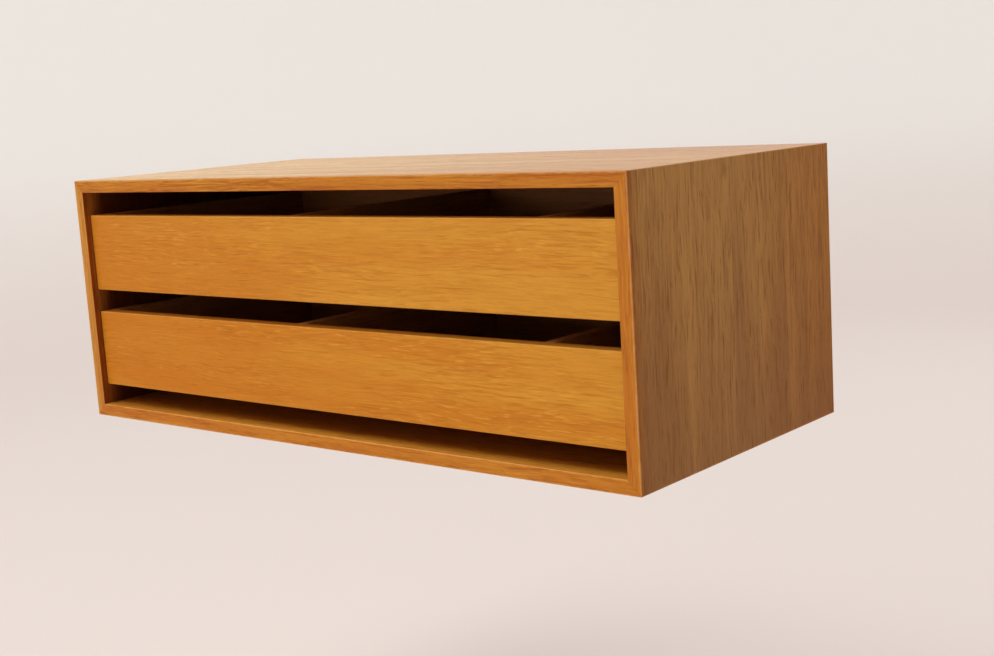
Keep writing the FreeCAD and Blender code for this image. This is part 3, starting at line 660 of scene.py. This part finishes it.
def wood_colour(graph, grain, timber):
    """The colour of a long face from the timber's own tones."""
    colour = graph.mix(grain["Bands"], timber.deep, timber.pale)
    layers = (
        (grain["Rings"], timber.ring_share, timber.deep),
        (grain["Streaks"], timber.streak_share, timber.streak),
        (grain["Flecks"], timber.fleck_share, timber.fleck),
        (grain["Pores"], timber.pore_share, timber.pore),
    )
    for mask, share, tone in layers:
        colour = graph.mix(graph.maths("MULTIPLY", mask, share), colour, tone)
    fibre = graph.ramp(grain["Fibre"], *FIBRE_SPAN, *FIBRE_TONES)
    return graph.stain(1.0, colour, graph.join(fibre, fibre, fibre))


def case_tones(graph, position, timber, colour):
    """The case's painted shade, warm next to the wall and darker on its inner faces, its outer
    faces' tint at the front, and its mitre lines.
    """
    case = graph.group(
        OPEN_CASE, Place=position, Middle=CASE_MIDDLE, Half_Size=CASE_HALF_SIZE, Board=BOARD
    )
    # painted warm shade towards the wall
    colour = graph.stain(graph.ramp(case["Depth"], *WALL_SHADE_DEPTH), colour, timber.unfaded)
    # painted shade on the inner faces, darker further in
    inner_shade = graph.mix(graph.ramp(case["Depth"], *INNER_SHADE_DEPTH), timber.inside, timber.inner)
    colour = graph.stain(case["Inside"], colour, inner_shade)
    handled = graph.mix(graph.ramp(case["Depth"], *FRONT_TINT_DEPTH), timber.handled, WHITE)
    colour = graph.stain(graph.maths("SUBTRACT", 1.0, case["Inside"]), colour, handled)
    return graph.mix(graph.maths("MULTIPLY", case["Mitre"], JOINT_DARKENING), colour, timber.pore)


def set_surface(graph, shader, position, grain, timber, dry):
    """Sheen and relief of a finished timber."""
    sheen = graph.group(OILED_SHEEN, Place=position, Roughness=timber.roughness, Dry=dry)
    graph.feed(shader["Roughness"], sheen["Roughness"])
    graph.feed(shader["Specular IOR Level"], TIMBER_SPECULAR)
    graph.feed(shader["Coat Weight"], timber.polish)
    graph.feed(shader["Coat Roughness"], POLISH_ROUGHNESS)
    graph.feed(shader["Coat IOR"], POLISH_IOR)
    graph.feed(shader["Normal"], graph.relief(grain["Height"], PORE_RELIEF, PORE_DEPTH))


def dress(node, material):
    """Give a piece its finish in place of the plain one that it came with."""
    mesh = nodes[node].data
    mesh.materials.clear()
    mesh.materials.append(material)


def dress_in_wood(node, timber, axes, number, cut=RIFT_SAWN, in_case=False, wear_highlight_box=None):
    """Finish a board. axes are the part's axes along, across and into it.

    wear_highlight_box is the box whose edges are worn and carry a painted highlight, the board's
    own if none is given.
    """
    material, graph, shader, places = new_material(f"{node}_{timber.name}")
    position = places["Object"]
    grain = board_grain(graph, position, node, timber, axes, number, cut)
    colour = wood_colour(graph, grain, timber)
    along, across, _ = axes
    end = graph.maths("MULTIPLY", facing(graph, places, along), END_DARKENING)
    colour = graph.mix(end, colour, timber.pore)
    # the tint of the long edges; on the drawer fronts this is painted shade
    colour = graph.stain(facing(graph, places, across), colour, timber.edge)
    low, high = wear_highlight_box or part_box(node)
    wear = graph.group(ARRIS_WEAR_HIGHLIGHT, Place=position, Low=low, High=high, Width=ARRIS)["Wear_Highlight"]
    # paler arrises: wear, and a painted highlight
    colour = graph.mix(graph.maths("MULTIPLY", wear, timber.wear_share), colour, timber.worn)
    if in_case:
        colour = case_tones(graph, position, timber, colour)
    graph.feed(shader["Base Color"], colour)
    dry = graph.maths("MAXIMUM", grain["Pores"], wear)
    set_surface(graph, shader, position, grain, timber, dry)
    dress(node, material)


def dress_in_plywood(node, timber, axes, number, plies):
    """Finish a thin sheet, faced with a timber, with its plies on its edges."""
    material, graph, shader, places = new_material(f"{node}_plywood")
    position = places["Object"]
    grain = board_grain(graph, position, node, timber, axes, number, FLAT_SAWN)
    face = wood_colour(graph, grain, timber)
    low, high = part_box(node)
    into = AXES.index(axes[2])
    depth = graph.maths("SUBTRACT", graph.split(position)[into], low[into])
    thickness = high[into] - low[into]
    dark = graph.group(PLIES, Depth=depth, Thickness=thickness, Count=float(plies))["Dark"]
    edge = graph.mix(dark, timber.pale, timber.pore)
    graph.feed(shader["Base Color"], graph.mix(facing(graph, places, axes[2]), edge, face))
    set_surface(graph, shader, position, grain, timber, grain["Pores"])
    dress(node, material)


DULL_ZINC = paint(150, 150, 146)
BRIGHT_ZINC = paint(196, 194, 186)
SCUFFED_ZINC = paint(222, 220, 214)
MOTTLE_COUNT = (420.0, 420.0, 420.0)
MOTTLE_SPAN = (0.35, 0.65)
MOTTLE_RELIEF = 0.2  # strength of the mottle's relief
MOTTLE_DEPTH = 0.0001
SCUFF_COUNT = (250.0, 250.0, 4000.0)
SCUFF_SPAN = (0.62, 0.75)
SCUFF_SHARE = 0.4
DULL_SPAN = (0.3, 0.7)  # the mottle's values over which the zinc gets rougher
ZINC_ROUGHNESS = (0.32, 0.52)


def zinc_plate():
    """Dull zinc-plated steel, mottled and lightly scuffed."""
    material, graph, shader, places = new_material("zinc_plate")
    mottle = graph.noise(places["Object"], MOTTLE_COUNT, detail=4.0, roughness=0.6)
    scuffs = graph.noise(places["Object"], SCUFF_COUNT)
    base = graph.mix(graph.ramp(mottle, *MOTTLE_SPAN), DULL_ZINC, BRIGHT_ZINC)
    base = graph.mix(graph.ramp(scuffs, *SCUFF_SPAN, end=SCUFF_SHARE), base, SCUFFED_ZINC)
    graph.feed(shader["Base Color"], base)
    graph.feed(shader["Metallic"], 1.0)
    graph.feed(shader["Roughness"], graph.ramp(mottle, *DULL_SPAN, *ZINC_ROUGHNESS))
    graph.feed(shader["Normal"], graph.relief(mottle, MOTTLE_RELIEF, MOTTLE_DEPTH))
    return material


# Pieces and their finishes

# Numbers say where in the log each board lies: another number gives another grain.
CASE_BOARDS_FROM = 1
LIPPINGS_FROM = 5
HANGING_RAIL_AT = 9
SPLINES_FROM = 10
RUNNERS_FROM = 14
BACK_PANEL_AT = 40
UPPER_DRAWER_FROM = 96
LOWER_DRAWER_FROM = 105
DRAWER_BOTTOM_AFTER = 7  # the bottom's number, counted from its drawer's first


def finish_case_boards():
    """Veneered boards: a polished top painted paler as a sheen, a bottom with little painted shade
    inside and a left side with dark painted shade inside.
    """
    # The top's pale tones stand for a painted sheen, and its lean, paler to the left and browner
    # to the right, for a painted reflection.
    top = timber_like(
        BROWN_OAK,
        pale=paint(237, 187, 106),
        deep=paint(211, 141, 28),
        streak=paint(172, 116, 54),
        handled=WHITE,
        unfaded=paint(252, 240, 210),
        tone_lean=-0.9,
        streak_share=0.42,
        polish=0.60,
    )
    bottom = timber_like(
        BROWN_OAK,
        pale=paint(196, 135, 42),
        deep=paint(181, 113, 27),
        # painted shade on the bottom's inner face: none near the front, slight further in
        inside=WHITE,
        inner=paint(246, 220, 184),
        handled=WHITE,
        tone_lean=0.0,
    )
    # painted shade: the left side's inner face is painted much darker further in
    left_side = timber_like(BROWN_OAK, inner=paint(132, 92, 60))
    boards = {
        "top_panel": (top, "XYZ"),
        "bottom_panel": (bottom, "XYZ"),
        "left_side_panel": (left_side, "ZYX"),
        "right_side_panel": (BROWN_OAK, "ZYX"),
    }
    for number, (node, (timber, axes)) in enumerate(boards.items(), start=CASE_BOARDS_FROM):
        dress_in_wood(node, timber, axes, number, FLAT_SAWN, in_case=True, wear_highlight_box=CASE_BOX)


def finish_lippings():
    """Solid strips on the case's front edges, each from another stick of oak."""
    streaked = timber_like(
        EDGE_OAK,
        pale=paint(200, 136, 36),
        streak=paint(142, 62, 12),
        streaks=(14.0, 560.0),
        streak_share=0.7,
        tone_lean=-0.25,
    )
    # The bottom lipping: no painted shade on its inner faces, and a paler painted highlight along
    # all its own arrises, the inner one too.
    highlighted = timber_like(EDGE_OAK, inside=WHITE, inner=WHITE, worn=paint(220, 158, 80))
    golden = timber_like(EDGE_OAK, pale=paint(200, 142, 58), deep=paint(186, 122, 40))
    shaded = timber_like(EDGE_OAK, edge=paint(230, 218, 206))
    strips = {
        "top_lipping": (streaked, "XZY", CASE_BOX),
        "bottom_lipping": (highlighted, "XZY", None),
        "left_lipping": (golden, "ZXY", CASE_BOX),
        "right_lipping": (shaded, "ZXY", CASE_BOX),
    }
    for number, (node, finish) in enumerate(strips.items(), start=LIPPINGS_FROM):
        timber, axes, wear_highlight_box = finish
        dress_in_wood(node, timber, axes, number, in_case=True, wear_highlight_box=wear_highlight_box)


def finish_hidden_timber():
    """Beech: the hanging rail, the tongues in the mitres and the runners."""
    dress_in_wood("hanging_rail", BEECH, "XZY", HANGING_RAIL_AT)
    corners = ("top_left", "top_right", "bottom_left", "bottom_right")
    for number, corner in enumerate(corners, start=SPLINES_FROM):
        dress_in_wood(f"{corner}_spline", BEECH, "YXZ", number)
    places = ("lower_left", "lower_right", "upper_left", "upper_right")
    for number, place in enumerate(places, start=RUNNERS_FROM):
        dress_in_wood(f"{place}_runner", BEECH, "YZX", number)


def finish_drawer(level, front_timber, first_number):
    """One drawer's front, sides, back, partitions and bottom."""
    parts = {
        "front": (front_timber, "XZY"),
        "left_side": (DRAWER_OAK, "YZX"),
        "right_side": (DRAWER_OAK, "YZX"),
        "back": (SHADED_DRAWER_OAK, "XZY"),
        "middle_partition": (DRAWER_OAK, "YZX"),
        "right_partition": (DRAWER_OAK, "YZX"),
    }
    for number, (part, (timber, axes)) in enumerate(parts.items(), start=first_number):
        dress_in_wood(f"{level}_drawer_{part}", timber, axes, number)
    number = first_number + DRAWER_BOTTOM_AFTER
    dress_in_plywood(f"{level}_drawer_bottom", DRAWER_OAK, "XYZ", number, plies=3)


def finish_metal():
    """Hanger plates, screws and panel pins."""
    zinc = zinc_plate()
    for node in nodes:
        if node.endswith(("_plate", "_screws", "_pins")):
            dress(node, zinc)


# Studio

PAPER = paint(232, 223, 214)
PAPER_CLOUD = paint(236, 228, 220)
CLOUD_COUNT = (1.5, 1.5, 1.5)
PAPER_ROUGHNESS = 0.9
PAPER_SPECULAR = 0.1
PAPER_GLOW = 0.6  # share of the two colours below in the paper that is seen or mirrored
GLOW_LOW = paint(240, 226, 220)
GLOW_HIGH = paint(255, 251, 247)
PAPER_RISE = 0.7  # height above the floor at which the paper's painted glow is palest
FLOOR_RADIUS = 3.0
CURVE_RADIUS = 1.2  # of the bend from floor to wall
WALL_HEIGHT = 1.6
CURVE_STEPS = 12
STAGE_STEPS = 96  # round the whole stage

# Lamps: where each stands, its width and height, and its power in watts.
LAMPS = {
    "key": ((-1.4, -2.95, 3.3), (2.2, 2.2), 58.0),
    "high_front": ((-0.8, -1.6, 3.4), (2.0, 2.0), 74.0),
    "low_front": ((-1.0, -3.9, 0.25), (1.6, 0.4), 15.5),
    "rear": ((0.4, 2.4, 1.6), (1.6, 1.6), 20.0),
}
SKY = paint(236, 228, 220)
SKY_LIGHT = 0.24  # strength of the sky as a light
SKY_SEEN = 1.0  # and as the camera sees it past the paper's edge


def stage_material():
    """A plain paper, warm white, with a painted glow that gets paler higher up, and clear to the
    camera from below, to show the underside.
    """
    material, graph, shader, places = new_material("studio_paper")
    tree_nodes = material.node_tree.nodes
    cloud = graph.noise(places["Object"], CLOUD_COUNT)
    graph.feed(shader["Base Color"], graph.mix(cloud, PAPER, PAPER_CLOUD))
    graph.feed(shader["Roughness"], PAPER_ROUGHNESS)
    graph.feed(shader["Specular IOR Level"], PAPER_SPECULAR)
    lit = tree_nodes["Principled BSDF"].outputs["BSDF"]

    _, _, height = graph.split(places["Object"])
    rise = graph.ramp(height, FLOOR_LEVEL, FLOOR_LEVEL + PAPER_RISE)
    glow = graph.add("ShaderNodeEmission")
    graph.feed(glow.inputs["Color"], graph.mix(rise, GLOW_LOW, GLOW_HIGH))

    rays = graph.add("ShaderNodeLightPath").outputs
    seen = graph.maths("MAXIMUM", rays["Is Camera Ray"], rays["Is Glossy Ray"])
    seen = graph.maths("MAXIMUM", seen, rays["Is Transmission Ray"])
    seen = graph.maths("MULTIPLY", seen, PAPER_GLOW)
    paper = graph.mix_shaders(seen, lit, glow.outputs["Emission"])

    behind = graph.add("ShaderNodeNewGeometry").outputs["Backfacing"]
    clear = graph.add("ShaderNodeBsdfTransparent").outputs["BSDF"]
    from_below = graph.maths("MULTIPLY", behind, rays["Is Camera Ray"])
    surface = graph.mix_shaders(from_below, paper, clear)
    graph.feed(tree_nodes["Material Output"].inputs["Surface"], surface)
    return material


def build_stage():
    """A round floor that curves up into a low wall on every side."""
    profile = [(FLOOR_RADIUS, FLOOR_LEVEL)]
    for step in range(1, CURVE_STEPS + 1):
        angle = math.pi / 2 * step / CURVE_STEPS
        radius = FLOOR_RADIUS + CURVE_RADIUS * math.sin(angle)
        profile.append((radius, FLOOR_LEVEL + CURVE_RADIUS * (1 - math.cos(angle))))
    top_level = FLOOR_LEVEL + CURVE_RADIUS + WALL_HEIGHT
    profile.append((FLOOR_RADIUS + CURVE_RADIUS, top_level))

    # The floor's middle, then the profile's points at each step round it.
    points = [(0.0, 0.0, FLOOR_LEVEL)]
    for turn in range(STAGE_STEPS):
        angle = 2 * math.pi * turn / STAGE_STEPS
        for radius, level in profile:
            points.append((radius * math.cos(angle), radius * math.sin(angle), level))

    # Each face's corners run anticlockwise as seen from inside, so that all faces look inward.
    faces = []
    for turn in range(STAGE_STEPS):
        here = 1 + turn * len(profile)
        there = 1 + (turn + 1) % STAGE_STEPS * len(profile)
        faces.append((0, here, there))
        for step in range(len(profile) - 1):
            faces.append((here + step, here + step + 1, there + step + 1, there + step))

    mesh = bpy.data.meshes.new("studio_floor")
    mesh.from_pydata(points, [], faces)
    for face in mesh.polygons:
        face.use_smooth = True
    floor = bpy.data.objects.new("studio_floor", mesh)
    bpy.context.scene.collection.objects.link(floor)
    mesh.materials.append(stage_material())


def soft_lamp(name, place, size, power):
    """A white soft light, aimed at the middle of the case, that the camera doesn't see."""
    lamp = bpy.data.lights.new(name, "AREA")
    lamp.shape = "RECTANGLE"
    lamp.size, lamp.size_y = size
    lamp.energy = power
    holder = bpy.data.objects.new(name, lamp)
    holder.location = place
    holder.rotation_mode = "QUATERNION"
    holder.rotation_quaternion = (CASE_MIDDLE - Vector(place)).to_track_quat("-Z", "Y")
    holder.visible_camera = False
    bpy.context.scene.collection.objects.link(holder)


def light_studio():
    """Lamps in front, above and behind, and an even sky."""
    for name, (place, size, power) in LAMPS.items():
        soft_lamp(name, place, size, power)
    world = bpy.context.scene.world or bpy.data.worlds.new("studio")
    bpy.context.scene.world = world
    world.use_nodes = True
    graph = Graph(world.node_tree)
    background = world.node_tree.nodes["Background"].inputs
    seen = graph.add("ShaderNodeLightPath").outputs["Is Camera Ray"]
    graph.feed(background["Color"], SKY)
    graph.feed(background["Strength"], graph.ramp(seen, 0.0, 1.0, SKY_LIGHT, SKY_SEEN))


def place_camera():
    """The photograph's viewpoint, with its slight roll."""
    camera = bpy.data.objects.new("camera", bpy.data.cameras.new("camera"))
    bpy.context.scene.collection.objects.link(camera)
    heading = Matrix.Rotation(CAMERA_HEADING, 4, "Z")
    pitch = Matrix.Rotation(math.pi / 2 + CAMERA_PITCH, 4, "X")
    roll = Matrix.Rotation(CAMERA_ROLL, 4, "Z")
    camera.matrix_world = Matrix.Translation(CAMERA_PLACE) @ heading @ pitch @ roll
    camera.data.sensor_width = CAMERA_SENSOR
    camera.data.lens = CAMERA_LENS
    bpy.context.scene.camera = camera


finish_case_boards()
finish_lippings()
finish_hidden_timber()
finish_drawer("lower", AMBER_OAK, LOWER_DRAWER_FROM)
finish_drawer("upper", GOLDEN_OAK, UPPER_DRAWER_FROM)
dress_in_plywood("back_panel", DRAWER_OAK, "XZY", BACK_PANEL_AT, plies=5)
finish_metal()
build_stage()
light_studio()
place_camera()
bpy.context.scene.view_settings.view_transform = "Standard"
